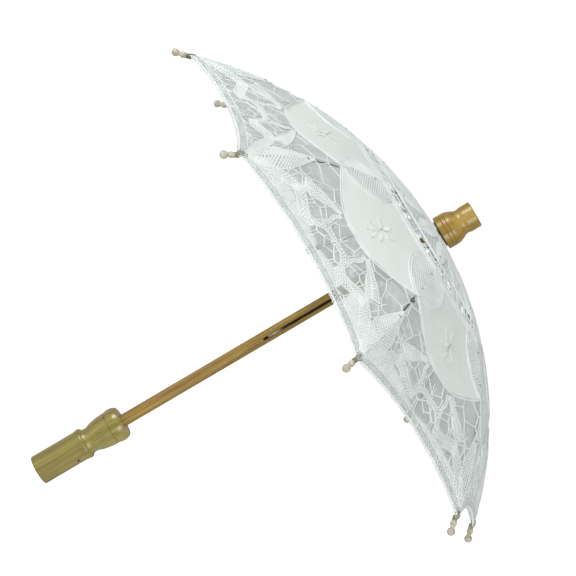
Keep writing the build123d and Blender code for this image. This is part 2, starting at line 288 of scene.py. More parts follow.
def spaced(line, step):
    """Places along a line, as indices with a fraction, at this step."""
    lengths = np.concatenate([[0], np.cumsum(np.linalg.norm(np.diff(line, axis=0), axis=1))])
    count = max(2, int(round(lengths[-1] / step)))
    return np.interp(np.linspace(0, lengths[-1], count + 1), lengths, np.arange(len(line)))


def at(line, places):
    """Points of a line at such places."""
    index = np.arange(len(line))
    return np.column_stack([np.interp(places, index, line[:, c]) for c in range(line.shape[1])])


def tape(drawing, guide, widths, strands=0):
    """A worked tape or leaf: a cord down each edge, threads that cross on the slant, and strands
    along it. Returns its outline."""
    centre = smooth(guide)
    share = np.linspace(0, 1, len(centre))
    half = np.interp(share, np.linspace(0, 1, len(widths)), widths) / 2
    right, left = offset(centre, half), offset(centre, -half)
    for edge in (right, left):
        thread(drawing, edge, TAPE_CORD, level=TAPE_EDGE_LEVEL, slot=CORD)
    for i in range(strands):
        place = (i + 1) / (strands + 1)
        thread(drawing, right * (1 - place) + left * place, TAPE_THREAD)
    places = spaced(centre, TAPE_RUNG)
    lean = TAPE_SLANT * np.interp(places, np.arange(len(half)), half)
    for slant in (lean, -lean):
        starts = at(right, np.clip(places - slant, 0, len(centre) - 1))
        ends = at(left, np.clip(places + slant, 0, len(centre) - 1))
        for start, end in zip(starts, ends):
            span = np.linalg.norm(end - start)
            if span > 1.0:
                steps = np.linspace(0, 1, max(2, int(span / TAPE_STEP) + 1))[:, None]
                thread(drawing, start + (end - start) * steps, TAPE_THREAD, level=TAPE_RUNG_LEVEL)
    return np.vstack([right, left[::-1]])


def inside(outline, points):
    """Which points are inside an outline."""
    x, y = points[:, 0], points[:, 1]
    result = np.zeros(len(points), bool)
    for (x0, y0), (x1, y1) in zip(outline, np.roll(outline, -1, axis=0)):
        crosses = (y0 > y) != (y1 > y)
        with np.errstate(divide="ignore", invalid="ignore"):
            result ^= crosses & (x < (x1 - x0) * (y - y0) / (y1 - y0) + x0)
    return result


def hatch(drawing, outline, angle, spacing, radius, level=0.0, step=2.4, sides=4, holes=()):
    """Parallel threads across an outline, left out of its holes."""
    along = np.array([math.cos(angle), math.sin(angle)])
    across = np.array([-along[1], along[0]])
    starts = np.vstack([outline, *holes])
    ends = np.vstack([np.roll(loop, -1, axis=0) for loop in (outline, *holes)])
    offsets, reaches = starts @ across, starts @ along
    after_offsets, after_reaches = ends @ across, ends @ along
    for place in np.arange(offsets.min() + spacing / 2, offsets.max(), spacing):
        hit = (offsets > place) != (after_offsets > place)
        share = (place - offsets[hit]) / (after_offsets[hit] - offsets[hit])
        cuts = np.sort(reaches[hit] + share * (after_reaches[hit] - reaches[hit]))
        for start, end in zip(cuts[::2], cuts[1::2]):
            if end - start > 0.6:
                steps = np.linspace(start, end, max(2, int((end - start) / step) + 1))
                thread(drawing, steps[:, None] * along + place * across, radius, level=level, sides=sides)


def clear_runs(line, outlines):
    """The stretches of a line outside all outlines."""
    count = max(3, int(np.linalg.norm(line[-1] - line[0]) / CLEAR_STEP) + 1)
    fine = at(line, np.linspace(0, len(line) - 1, count))
    free = np.ones(len(fine), bool)
    for outline in outlines:
        free &= ~inside(outline, fine)
    free &= fine[:, 1] < rim(np.clip(fine[:, 0], 0, CORNER_HALF)) - RIM_WIDTH + 0.4
    edges = np.flatnonzero(np.diff(np.concatenate([[False], free, [False]]).astype(int)))
    return [fine[a:b] for a, b in zip(edges[::2], edges[1::2]) if b - a > 2]


def open_net(drawing, region, cell, jitter, outlines, radius, noise_level):
    """Bars of thread in loose six-sided cells, over a region (u0, v0, u1, v1) outside the outlines."""
    u0, v0, u1, v1 = region
    rows = int((v1 - v0) / (cell * CELL_ROW)) + 3
    columns = int((u1 - u0) / (cell * CELL_COLUMN)) + 4

    def corner(row, column, low):
        shift = 0.5 if row % 2 else 0.0
        spot = Vector((row * 1.7 + low * 0.9, column * 1.3, noise_level))
        wobble = noise.noise_vector(spot) * jitter
        u = u0 + (column - 1 + shift) * cell * CELL_COLUMN + wobble.x
        v = v0 + (row - 1) * cell * CELL_ROW + (CELL_UPRIGHT if low else -CELL_UPRIGHT) * cell + wobble.y
        return np.array([u, v])

    bars = []
    for row in range(rows):
        for column in range(columns):
            top, bottom = corner(row, column, 0), corner(row, column, 1)
            bars.append((top, bottom))
            before = column - 1 if row % 2 == 0 else column
            for neighbour in (before, before + 1):
                bars.append((bottom, corner(row + 1, neighbour, 0)))
    for start, end in bars:
        line = start + (end - start) * np.linspace(0, 1, 5)[:, None]
        for run in clear_runs(line, outlines):
            steps = max(2, int(np.linalg.norm(run[-1] - run[0]) / BAR_STEP) + 1)
            thread(drawing, at(run, np.linspace(0, len(run) - 1, steps)), radius, sides=5)


def satin(drawing, guide, widths):
    """A petal or stem of raised satin stitch, threads close together across it."""
    centre = smooth(guide, 0.6)
    share = np.linspace(0, 1, len(centre))
    half = np.interp(share, np.linspace(0, 1, len(widths)), widths) / 2
    right, left = offset(centre, half), offset(centre, -half)
    places = spaced(centre, SATIN_SPACING)
    t = np.linspace(-1, 1, 5)
    heights = SATIN_BASE + SATIN_RISE * (1 - t**2)
    for start, end in zip(at(right, places), at(left, places)):
        line = np.column_stack([start + (end - start) * (t[:, None] + 1) / 2, heights])
        thread(drawing, line, SATIN_THREAD, slot=SATIN)


def cloth(drawing, outline, thickness, slot, grid=2.4):
    """A piece of plain cloth with soft undulations, filled in from its outline."""
    sides = []
    for start, end in zip(outline, np.roll(outline, -1, axis=0)):
        count = max(1, math.ceil(np.linalg.norm(end - start) / grid))
        sides.append(start + (end - start) * (np.arange(count) / count)[:, None])
    outline = np.vstack(sides)
    low, high = outline.min(0), outline.max(0)
    us, vs = np.meshgrid(np.arange(low[0] + grid, high[0], grid), np.arange(low[1] + grid, high[1], grid))
    grid_points = np.column_stack([us.ravel(), vs.ravel()])
    grid_points[:, 0] += grid / 2 * (np.round((grid_points[:, 1] - low[1]) / grid) % 2)
    shrunk = outline.mean(0) + (outline - outline.mean(0)) * INNER_SHARE
    grid_points = grid_points[inside(shrunk, grid_points)]
    count = len(outline)
    corners = [Vector(p) for p in np.vstack([outline, grid_points])]
    edges = [(i, (i + 1) % count) for i in range(count)]
    found, _, faces, _, _, _ = delaunay_2d_cdt(corners, edges, [list(range(count))], 1, 1e-5)
    flat = np.array([tuple(p) for p in found])
    ripple = RIPPLE * np.cos(flat[:, 0] * 0.33) * np.cos(flat[:, 1] * 0.27 + 0.8)
    top = np.column_stack([flat, ripple + thickness / 2])
    bottom = np.column_stack([flat, ripple - thickness / 2])
    total = len(flat)
    made, uses = [], {}
    for face in faces:
        a, b, c = (flat[i] for i in face[:3])
        turn = (b[0] - a[0]) * (c[1] - a[1]) - (b[1] - a[1]) * (c[0] - a[0])
        face = tuple(face) if turn > 0 else tuple(face)[::-1]
        made += [face, tuple(i + total for i in face[::-1])]
        for i, j in zip(face, face[1:] + face[:1]):
            uses[(i, j)] = True
    walls = [(j, i, i + total, j + total) for i, j in uses if (j, i) not in uses]
    drawing.add(np.vstack([top, bottom]), made + walls, slot, flat_faces=len(walls))


# ---- the lace of half a gore ---------------------------------------------------
RIM_WIDTH = 5.6
JUNCTION_V = 108.0
CROWN_PATCH_V = 27.0
NET_PITCH = 0.72
NET_THREAD = 0.14
NET_LEVEL = -0.35

LINEN_TOP_V = 72.4
LINEN_FOOT_V = 130.0
LINEN_TOP_HALF = 20.5
LINEN_THICKNESS = 0.3
LINEN_EDGE = 1.7
LINEN_EDGE_STEP = 0.75
DROP_GAP = 1.9
DROP_PITCH = 1.75
PATCH_THICKNESS = 0.24
CROWN_THREAD = 0.27
CROWN_TURN = 9.0
# The open bars: from which v to which, then the size of a cell and how far its corners stray.
CELL_BARS_V = (109, 148)
CELL_BARS = (16.5, 4.6)
RIM_BARS_V = (149, 172)
RIM_BARS = (12.0, 3.0)
# The ring of openings in the crown, and the open gap beside the rib.
RING_V = (58.6, 68.6)
RIB_GAP_V = (110.5, 129.5)
RIB_GAP = 1.7

junction = (float(half_width(JUNCTION_V)), JUNCTION_V)
# The linen's outline in flat mm: the crown edge, the hollow beside the teardrop, the point on the rib,
# the lower side and the flat foot.
linen_hollow = smooth(
    [(LINEN_TOP_HALF, LINEN_TOP_V), (18.6, 77.0), (18.4, 83.5), (21.0, 91.6), (28.6, 100.4), junction]
)
lower_side = [(36.8, 113.4), (29.0, 119.6), (21.6, 124.8), (14.0, 128.4)]
linen_skirt = smooth([junction, *lower_side, (6.0, LINEN_FOOT_V), (0.0, LINEN_FOOT_V)])
linen_top = np.column_stack([np.linspace(0, LINEN_TOP_HALF, 10)[:-1], np.full(9, LINEN_TOP_V)])
linen_outline = np.vstack([linen_top, linen_hollow, linen_skirt[1:]])


def draw_linen():
    """The plain cloth patch with its embroidered sprig."""
    drawing = Drawing()
    cloth(drawing, linen_outline, LINEN_THICKNESS, THREAD)
    # The sprig: a flower of slim satin petals on the mid-line, and a small bud on a stem below it.
    satin(drawing, [(0.0, 103.4), (0.5, 99.0), (0.0, 94.6)], [0.9, 2.6, 0.7])
    satin(drawing, [(0.9, 104.2), (4.6, 102.4), (8.2, 99.4)], [0.8, 2.6, 0.7])
    satin(drawing, [(0.8, 105.4), (3.6, 107.8), (6.4, 111.2)], [0.8, 2.6, 0.7])
    satin(drawing, [(0.5, 111.0), (2.0, 113.8), (2.6, 117.0)], [0.5, 2.2, 0.6])
    stem = smooth([(0.15, 105.0), (0.5, 108.4), (0.3, 111.4)], 0.8)
    thread(drawing, stem, FINE_THREAD, level=0.3, slot=SATIN)
    return drawing


def draw_lace():
    """Everything that is worked in thread round the linen."""
    drawing = Drawing()
    # The linen's edge: two cords with a zigzag between them.
    inner, outer = linen_outline, offset(linen_outline, -LINEN_EDGE)
    for line, radius in ((inner, EDGE_CORD), (outer, FINE_EDGE_CORD)):
        thread(drawing, line, radius, level=0.2, slot=CORD, sides=5)
    places = spaced(linen_outline, LINEN_EDGE_STEP)
    zigzag = [at(inner if i % 2 else outer, [p])[0] for i, p in enumerate(places)]
    thread(drawing, zigzag, FINE_THREAD, level=0.1)

    # The teardrop on the rib above the junction.
    beside_linen = offset(linen_hollow, -DROP_GAP)
    drop_edge = np.vstack([beside_linen[2:-2][::-1], [(23.4, LINEN_TOP_V + 0.7), (27.0, LINEN_TOP_V + 0.2)]])
    drop_edge = np.vstack([drop_edge, [(31.0, LINEN_TOP_V + 1.0)]])
    far_rib = [(half_width(v) + 1.0, v) for v in (LINEN_TOP_V + 1.0, 92.0, JUNCTION_V - 1.0)]
    drop_outline = np.vstack([drop_edge, far_rib])
    thread(drawing, drop_edge, EDGE_CORD, level=0.25, slot=CORD, sides=5)
    hatch(drawing, drop_outline, math.radians(40), DROP_PITCH, THIN_CORD)
    hatch(drawing, drop_outline, math.radians(128), DROP_PITCH, THIN_CORD, level=0.1)

    # The crown: a plain patch round the shaft, leaves, slanting threads, and the ring of bars.
    patch_v = np.linspace(INNER_EDGE, CROWN_PATCH_V, 8)
    patch_side = np.column_stack([half_width(patch_v), patch_v])
    patch_across = np.linspace(half_width(CROWN_PATCH_V), 0, 7)[1:]
    patch_foot = np.column_stack([patch_across, np.full(6, CROWN_PATCH_V)])
    patch_outline = np.vstack([[(0.0, INNER_EDGE)], patch_side, patch_foot])
    cloth(drawing, patch_outline, PATCH_THICKNESS, THREAD, grid=2.0)
    ring_top, ring_foot = RING_V
    border = [(0.0, 1.6), (12.0, 1.6), (21.0, 1.4), (29.0, 0.6)]
    border_outline = tape(drawing, [(u, ring_foot + below) for u, below in border], [2.6, 2.8, 3.2])
    tape(drawing, [(0.0, 16.0), (0.0, 37.0), (0.0, ring_top - 1.5)], [3.0, 12.0, 13.0, 1.0], strands=1)
    rib_leaf = [(half_width(v), v) for v in (22.0, 41.0, ring_top + 1.0)]
    tape(drawing, rib_leaf, [1.0, 8.0, 11.0, 9.0, 2.0], strands=1)
    for sign in (1, -1):
        for start in np.arange(-9, 10):
            v = np.linspace(INNER_EDGE, ring_top - 1.4, 40)
            share = (start + sign * (v - INNER_EDGE) / CROWN_TURN) / 6.0
            line = np.column_stack([share * half_width(v), v])
            thread(drawing, line, CROWN_THREAD)
    for v, radius in ((7.5, 0.35), (15.5, 0.3), (ring_top - 1.6, 0.42), (ring_top, 0.4)):
        u = np.linspace(0, half_width(v), 14)
        bow = 0.9 * np.cos(u / half_width(v) * math.pi)
        thread(drawing, np.column_stack([u, v - bow]), radius, level=0.1, slot=CORD)
    ring_middle = (ring_top + ring_foot) / 2
    for start, lean in ((1.4, 0.8), (4.8, 0.0), (11.8, 0.2), (16.4, -0.8), (20.6, 0.6), (24.0, 0.4)):
        line = [(start, ring_top - 0.6), (start + lean, ring_middle), (start + lean * 1.6, ring_foot + 1)]
        thread(drawing, smooth(line), EDGE_CORD, slot=CORD)
    rail = [(11.8, 64.6), (13.6, 65.4), (16.6, 63.6), (21.0, 64.8), (28.0, 64.2)]
    thread(drawing, smooth(rail), THIN_CORD, slot=CORD)

    # The leaf on the rib, the arms that reach it from the linen's foot, and the wavy tape below.
    outlines = [linen_outline, drop_outline, border_outline]
    leaf = [(half_width(v), v) for v in (127.0, 139.0, 150.0, 162.0, 171.0)]
    arms = [
        (leaf, [1.0, 9.0, 16.0, 19.0, 14.0, 6.0], 1),
        ([(14.4, 130.6), (21.0, 133.8), (29.0, 138.6), (38.0, 145.0)], [2.4, 4.4, 8.0, 9.0], 1),
        ([(38.0, 150.0), (31.0, 151.6), (22.0, 155.4), (13.0, 156.4)], [7.4, 6.8, 7.2, 3.0], 1),
        ([(15.0, 154.4), (11.0, 148.4), (6.0, 146.0), (0.0, 146.6)], [2.8, 3.2, 3.6, 3.2], 0),
        ([(34.0, 149.0), (42.0, 154.4), (50.0, 161.0), (58.6, 168.0)], [4.0, 7.0, 6.4, 4.0], 0),
        ([(12.4, 131.6), (14.2, 136.6), (12.4, 142.4), (13.4, 147.8)], [1.6, 2.4, 2.0, 1.4], 0),
    ]
    for guide, widths, strands in arms:
        outlines.append(tape(drawing, guide, widths, strands=strands))

    # The open bars between them, in large cells above the leaf's widest place and smaller ones below.
    for (start, end), (cell, jitter), width, noise_level in (
        (CELL_BARS_V, CELL_BARS, 60, 3.1),
        (RIM_BARS_V, RIM_BARS, 64, 8.6),
    ):
        open_net(drawing, (0, start, width, end), cell, jitter, outlines, THIN_CORD, noise_level)

    # The rim: two cords, three zigzags between them, and small loops along the edge.
    us = np.linspace(0, CORNER_HALF, 56)
    edge = np.column_stack([us, rim(us)])

    def inward(distance):
        return np.column_stack([us, rim(us) - distance])

    band_foot = RIM_WIDTH - 0.3
    for distance, radius, level in ((0.5, 0.5, 0.2), (band_foot, THIN_CORD, 0.15)):
        thread(drawing, inward(distance), radius, level=level, slot=CORD, sides=5)
    for near, far, step in ((0.6, 2.4, 1.1), (2.0, 3.8, 1.25), (3.4, band_foot, 1.15)):
        places = spaced(edge, step)
        line = [at(inward(near if i % 2 else far), [p])[0] for i, p in enumerate(places)]
        thread(drawing, line, FINE_EDGE_CORD)
    loop = np.linspace(-0.1 * math.pi, 1.1 * math.pi, 7)
    for place in spaced(edge, 2.1)[:-1] + 0.9:
        centre = at(edge, [place])[0]
        line = np.column_stack([centre[0] + 0.85 * np.cos(loop), centre[1] + 0.95 * np.sin(loop)])
        thread(drawing, line, 0.28, slot=CORD)
    return drawing


def draw_net():
    """The fine net under the lace, over all of the half gore but the linen and three open places."""
    drawing = Drawing()
    down = np.linspace(INNER_EDGE, float(rim(CORNER_HALF)), 40)
    across = np.linspace(CORNER_HALF, 0, 20)
    outline = np.vstack(
        [
            [(0.0, INNER_EDGE)],
            np.column_stack([half_width(down), down]),
            np.column_stack([across, rim(across) - 1.0]),
            linen_outline[::-1],
        ]
    )
    # Open places: two in the crown's ring, and a narrow one along the rib below the linen's point.
    ring_v = np.linspace(RING_V[0] + 0.2, RING_V[1] - 1.2, 5)
    beside_rib = np.vstack(
        [np.column_stack([half_width(ring_v) - 0.2, ring_v]), [(14.0, ring_v[-1]), (13.6, ring_v[0])]]
    )
    near_middle = np.array([(5.4, 60.2), (11.4, 60.2), (11.4, RING_V[1] - 0.2), (5.4, RING_V[1] - 0.2)])
    gap_v = np.linspace(*RIB_GAP_V, 5)
    gap = np.column_stack([half_width(gap_v) - 0.05, gap_v])
    gap = np.vstack([gap, (gap - [RIB_GAP, 0])[::-1]])
    for angle in (45, -45):
        hatch(
            drawing,
            outline,
            math.radians(angle),
            NET_PITCH,
            NET_THREAD,
            NET_LEVEL,
            step=4.5,
            sides=3,
            holes=(beside_rib, near_middle, gap),
        )
    return drawing


# ---- building objects -----------------------------------------------------------
def new_object(name, points, faces, materials, slots, rounded, flat):
    """A mesh object, with the flat pattern's place as its UV map in cm."""
    mesh = bpy.data.meshes.new(name)
    mesh.from_pydata([tuple(p) for p in points], [], faces)
    for material in materials:
        mesh.materials.append(material)
    mesh.polygons.foreach_set("material_index", np.asarray(slots, np.int32))
    mesh.polygons.foreach_set("use_smooth", np.asarray(rounded, bool))
    sizes = [len(face) for face in faces]
    edges = np.zeros(len(mesh.loops), np.int32)
    mesh.loops.foreach_get("edge_index", edges)
    sharp = np.zeros(len(mesh.edges), bool)
    sharp[edges[~np.repeat(np.asarray(rounded, bool), sizes)]] = True
    mesh.attributes.new("sharp_edge", "BOOLEAN", "EDGE").data.foreach_set("value", sharp)
    layer = mesh.uv_layers.new(name="flat")
    corners = np.zeros(len(mesh.loops), np.int32)
    mesh.loops.foreach_get("vertex_index", corners)
    layer.data.foreach_set("uv", (np.asarray(flat)[corners, :2] / 10).astype(np.float32).ravel())
    mesh.update()
    item = bpy.data.objects.new(name, mesh)
    bpy.context.scene.collection.objects.link(item)
    return item


def two_halves(name, drawing, rib, materials):
    """A drawing wrapped on both sides of a rib as one object."""
    flat = np.vstack(drawing.points)
    points = np.vstack([wrap(flat, rib, 1), wrap(flat, rib, -1)])
    mirrored = [tuple(i + len(flat) for i in face[::-1]) for face in drawing.faces]
    flats = np.vstack([flat, flat * [-1, 1, 1]])
    faces = drawing.faces + mirrored
    return new_object(name, points, faces, materials, drawing.slots * 2, drawing.rounded * 2, flats)


# ---- threads that hold the canopy to the frame ---------------------------------------
# How deep a rib lies under the cloth's arc, and the ties round it, at angles from the shaft.
RIB_DEPTH = 1.75
TIE_ANGLES = (0.13, 0.24, 0.37, 0.46, 0.61)
TIE_TURNS = 3
TIE_THREAD = 0.2
LASH_TURNS = 6
LASH_THREAD = 0.23
LASH_START, LASH_LENGTH = 10.4, 3.2
LASH_RADIUS = 1.38
ROUND_SIDES = 6
# A direction that no thread follows, to turn a thread's sides from.
ASKEW = (0.31, 0.19, 0.93)
# Where a rib's tip starts, out and up, and its slope. The lashing is round it, at the cloth's corner.
TIP_START = (158.8, 214.98)
TIP_SLOPE = math.radians(42.6)


def on_rib(rib, points):
    """Points (out, across, up) in the plane of a rib and beside it, in metres."""
    out, across, up = np.asarray(points, float).T
    angle = FRONT_ANGLE + rib * RIB_STEP
    x = out * math.cos(angle) - across * math.sin(angle)
    y = out * math.sin(angle) + across * math.cos(angle)
    return np.column_stack([x, y, up]) * MM


def round_thread(parts, line, radius):
    """Add a round closed thread along a line in space, given in mm as (out, across, up)."""
    line = np.asarray(line, float)
    along = np.gradient(line, axis=0)
    along /= np.linalg.norm(along, axis=1)[:, None]
    side = np.cross(along, ASKEW)
    side /= np.linalg.norm(side, axis=1)[:, None]
    parts.append(tube_mesh(line, radius, side, np.cross(side, along), ROUND_SIDES))


def coil(centre, along, out_way, radii, turns, length):
    """A coil of thread round a line in a rib's plane; radii are across and out of the cloth."""
    angle = np.linspace(0, 2 * math.pi * turns, 12 * turns + 1)
    shift = np.linspace(-length / 2, length / 2, len(angle))
    middle = np.array([centre[0], 0, centre[1]])
    way = np.array([along[0], 0, along[1]])
    outward = np.array([out_way[0], 0, out_way[1]])
    beside = np.array([0, 1.0, 0])
    return (
        middle
        + way * shift[:, None]
        + beside * (radii[0] * np.sin(angle))[:, None]
        + outward * (radii[1] * np.cos(angle))[:, None]
    )


def draw_lashing():
    """The ties round a rib and the lashing at its tip."""
    parts = []
    for angle in TIE_ANGLES:
        outward = (math.sin(angle), math.cos(angle))
        depth = ARC_RADIUS - RIB_DEPTH + 0.45
        centre = (depth * outward[0], CENTRE_Z + depth * outward[1])
        along = (math.cos(angle), -math.sin(angle))
        round_thread(parts, coil(centre, along, outward, (1.3, 1.6), TIE_TURNS, 1.2), TIE_THREAD)
    along = (math.cos(TIP_SLOPE), -math.sin(TIP_SLOPE))
    outward = (math.sin(TIP_SLOPE), math.cos(TIP_SLOPE))
    place = LASH_START + LASH_LENGTH / 2
    centre = (TIP_START[0] + along[0] * place, TIP_START[1] + along[1] * place)
    radii = (LASH_RADIUS, LASH_RADIUS)
    round_thread(parts, coil(centre, along, outward, radii, LASH_TURNS, LASH_LENGTH), LASH_THREAD)
    # Loose strands from the lashing up into the corner of the cloth.
    for across, rise, back in ((-2.6, 1.5, 3.4), (-1.1, 1.8, 4.6), (0.6, 1.7, 4.0), (2.3, 1.5, 3.0)):
        start = (centre[0] + outward[0] * LASH_RADIUS, across * 0.3, centre[1] + outward[1] * LASH_RADIUS)
        end = (
            start[0] - along[0] * back + outward[0] * rise * 0.25,
            across,
            start[2] - along[1] * back + outward[1] * rise * 0.25,
        )
        middle = (np.add(start, end) + np.array([outward[0], 0, outward[1]]) * 0.5) / 2
        round_thread(parts, smooth([start, middle, end], 0.8), LASH_THREAD)
    return parts


def lashing_object(name, parts, rib, material):
    """The ties and the lashing of one rib as an object."""
    points = on_rib(rib, np.vstack([part[0] for part in parts]))
    faces, rounded, count = [], [], 0
    for part_points, part_faces in parts:
        faces += [tuple(i + count for i in face) for face in part_faces]
        rounded += [True] * (len(part_faces) - 2) + [False] * 2
        count += len(part_points)
    return new_object(name, points, faces, [material], [0] * len(faces), rounded, points / MM)


# ---- materials --------------------------------------------------------------------
def linear(colour):
    """A colour given as sRGB 0 to 255, as the linear RGBA that nodes take."""
    values = [c / 255 for c in colour]
    return (*[c / 12.92 if c <= 0.04045 else ((c + 0.055) / 1.055) ** 2.4 for c in values], 1.0)


class Look:
    """A Principled material and short ways to add nodes to it."""

    def __init__(self, name, **values):
        self.material = bpy.data.materials.new(name)
        self.material.use_nodes = True
        self.tree = self.material.node_tree
        self.shader = self.tree.nodes["Principled BSDF"]
        for key, value in values.items():
            self.shader.inputs[key.replace("_", " ")].default_value = value

    def node(self, kind, **values):
        node = self.tree.nodes.new("ShaderNode" + kind)
        for key, value in values.items():
            setattr(node, key, value)
        return node

    def link(self, source, target):
        self.tree.links.new(source, target)

    def coordinates(self, scale, source="Object"):
        """Object or flat-pattern coordinates, scaled along each axis."""
        if source == "flat":
            start = self.node("UVMap", uv_map="flat").outputs["UV"]
        else:
            start = self.node("TexCoord").outputs[source]
        mapping = self.node("Mapping")
        mapping.inputs["Scale"].default_value = scale
        self.link(start, mapping.inputs["Vector"])
        return mapping.outputs["Vector"]

    def noise(self, vector, scale, detail=3.0, roughness=0.55, distortion=0.0):
        node = self.node("TexNoise")
        node.inputs["Scale"].default_value = scale
        node.inputs["Detail"].default_value = detail
        node.inputs["Roughness"].default_value = roughness
        node.inputs["Distortion"].default_value = distortion
        self.link(vector, node.inputs["Vector"])
        return node.outputs["Fac"]

    def wave(self, vector, scale, direction, distortion=0.0):
        node = self.node("TexWave", wave_type="BANDS", bands_direction=direction, wave_profile="SIN")
        node.inputs["Scale"].default_value = scale
        node.inputs["Distortion"].default_value = distortion
        self.link(vector, node.inputs["Vector"])
        return node.outputs["Fac"]

    def ramp(self, fac, stops):
        node = self.node("ValToRGB")
        elements = node.color_ramp.elements
        elements[0].position, elements[0].color = stops[0][0], stops[0][1]
        elements[1].position, elements[1].color = stops[-1][0], stops[-1][1]
        for place, colour in stops[1:-1]:
            elements.new(place).color = colour
        self.link(fac, node.inputs["Fac"])
        return node.outputs["Color"]

    def feed(self, node, values):
        """Give a node's inputs, by number, a value or a socket to follow."""
        for number, value in values.items():
            if hasattr(value, "links"):
                self.link(value, node.inputs[number])
            else:
                node.inputs[number].default_value = value

    def mix(self, fac, a, b, blend="MIX"):
        node = self.node("Mix", data_type="RGBA", blend_type=blend)
        self.feed(node, {0: fac, 6: a, 7: b})
        return node.outputs[2]

    def math(self, operation, a, b):
        node = self.node("Math", operation=operation)
        self.feed(node, {0: a, 1: b})
        return node.outputs[0]

    def spread(self, fac, low, high):
        node = self.node("MapRange")
        node.inputs["To Min"].default_value = low
        node.inputs["To Max"].default_value = high
        self.link(fac, node.inputs["Value"])
        return node.outputs["Result"]

    def bump(self, height, distance, strength=1.0):
        node = self.node("Bump")
        node.inputs["Distance"].default_value = distance
        node.inputs["Strength"].default_value = strength
        self.link(height, node.inputs["Height"])
        self.link(node.outputs["Normal"], self.shader.inputs["Normal"])

    def colour(self, socket):
        self.link(socket, self.shader.inputs["Base Color"])

    def roughness(self, socket):
        self.link(socket, self.shader.inputs["Roughness"])


def cotton(name, light, shade, roughness, sheen, twist):
    """Spun cotton thread: fine twist in its surface and faint changes of white."""
    look = Look(name, Sheen_Weight=sheen, Sheen_Roughness=0.5, Specular_IOR_Level=0.3)
    place = look.coordinates((1, 1, 1))
    patches = look.noise(place, 70, 3)
    look.colour(look.ramp(patches, [(0.35, linear(shade)), (0.65, linear(light))]))
    look.roughness(look.spread(look.noise(place, 900, 2), roughness - 0.08, roughness + 0.08))
    look.bump(look.noise(place, 2600, 2, distortion=1.5), twist * MM, 0.7)
    return look.material


def linen_weave(name, light, shade):
    """Plain-woven linen, two threads to the millimetre, with slubs and faint creases."""
    look = Look(name, Sheen_Weight=0.2, Sheen_Roughness=0.5, Specular_IOR_Level=0.25)
    flat = look.coordinates((1, 1, 1), "flat")
    warp = look.wave(flat, 6.4, "X", 0.5)
    weft = look.wave(flat, 6.4, "Y", 0.5)
    weave = look.math("MULTIPLY", warp, weft)
    slubs = look.noise(look.coordinates((0.5, 9, 1), "flat"), 1.6, 3)
    tone = look.math("ADD", look.math("MULTIPLY", slubs, 0.75), look.math("MULTIPLY", weave, 0.25))
    look.colour(look.ramp(tone, [(0.3, linear(shade)), (0.62, linear(light))]))
    look.roughness(look.spread(weave, 0.9, 0.75))
    height = look.math("ADD", weave, look.math("MULTIPLY", slubs, 0.6))
    look.bump(height, 0.12 * MM, 0.6)
    return look.material


def turned_wood(name, pale, mid, dark, roughness, coat, streak=1.0):
    """Varnished straight-grained wood, its grain along the shaft."""
    look = Look(name, Coat_Weight=coat, Coat_Roughness=0.12, Coat_IOR=1.5, Specular_IOR_Level=0.4)
    long = look.coordinates((1, 1, 0.045))
    broad = look.noise(long, 150 * streak, 4, 0.6, 0.6)
    fine = look.noise(long, 900, 3, 0.7)
    pores = look.noise(look.coordinates((1, 1, 0.02)), 2400, 2, 0.5)
    grain = look.math("ADD", look.math("MULTIPLY", broad, 0.68), look.math("MULTIPLY", fine, 0.32))
    base = look.ramp(grain, [(0.36, linear(dark)), (0.5, linear(mid)), (0.64, linear(pale))])
    specks = look.ramp(pores, [(0.30, (0.55, 0.5, 0.42, 1)), (0.42, (1, 1, 1, 1))])
    look.colour(look.mix(0.45, base, specks, "MULTIPLY"))
    look.roughness(look.spread(grain, roughness + 0.1, roughness - 0.05))
    look.bump(look.math("ADD", pores, look.math("MULTIPLY", broad, 0.5)), 0.05 * MM, 0.5)
    return look.material


def bare_metal(name, light, dark, roughness):
    """Drawn or pressed metal with fine scratches and dull patches."""
    look = Look(name, Metallic=1.0)
    place = look.coordinates((1, 1, 1))
    patches = look.noise(place, 220, 4, 0.6)
    scratches = look.noise(look.coordinates((1, 1, 0.12)), 2600, 2)
    look.colour(look.ramp(patches, [(0.34, linear(dark)), (0.66, linear(light))]))
    look.roughness(look.spread(patches, roughness - 0.1, roughness + 0.1))
    look.bump(scratches, 0.03 * MM, 0.4)
    return look.material


def sprung_foot(name, bright, dull):
    """Spring steel, its own bright steel near its foot, and painted near-black above it as the shade inside
    the shaft's slot.
    """
    look = Look(name, Metallic=0.9)
    height = look.node("SeparateXYZ")
    look.link(look.node("TexCoord").outputs["Object"], height.inputs["Vector"])
    patches = look.noise(look.coordinates((1, 1, 1)), 260, 3, 0.6)
    uneven = look.math("ADD", height.outputs["Z"], look.math("MULTIPLY", patches, 3 * MM))
    foot = look.node("MapRange")
    foot.inputs["From Min"].default_value = BRIGHT_FOOT_Z * MM
    foot.inputs["From Max"].default_value = (BRIGHT_FOOT_Z + BRIGHT_FADE) * MM
    look.link(uneven, foot.inputs["Value"])
    # Painted shade: near-black above the foot, standing in for the shade inside the slot.
    look.colour(look.mix(foot.outputs["Result"], linear(bright), linear(dull)))
    look.roughness(look.spread(patches, 0.25, 0.5))
    look.bump(look.noise(look.coordinates((1, 1, 0.1)), 2600, 2), 0.03 * MM, 0.4)
    return look.material


def ivory(name, light, shade):
    """Glossy ivory-coloured plastic, faintly clouded darker at random."""
    look = Look(name, Coat_Weight=0.35, Coat_Roughness=0.2, Specular_IOR_Level=0.5)
    place = look.coordinates((1, 1, 1))
    clouds = look.noise(place, 420, 4, 0.6)
    look.colour(look.ramp(clouds, [(0.3, linear(shade)), (0.6, linear(light))]))
    look.roughness(look.spread(clouds, 0.5, 0.3))
    look.bump(look.noise(place, 1500, 2), 0.04 * MM, 0.4)
    return look.material


# The spring's lower end is bright up to this height; above a fade it is painted near-black as the slot's
# shade, in mm.
BRIGHT_FOOT_Z = 168.0
BRIGHT_FADE = 5.0

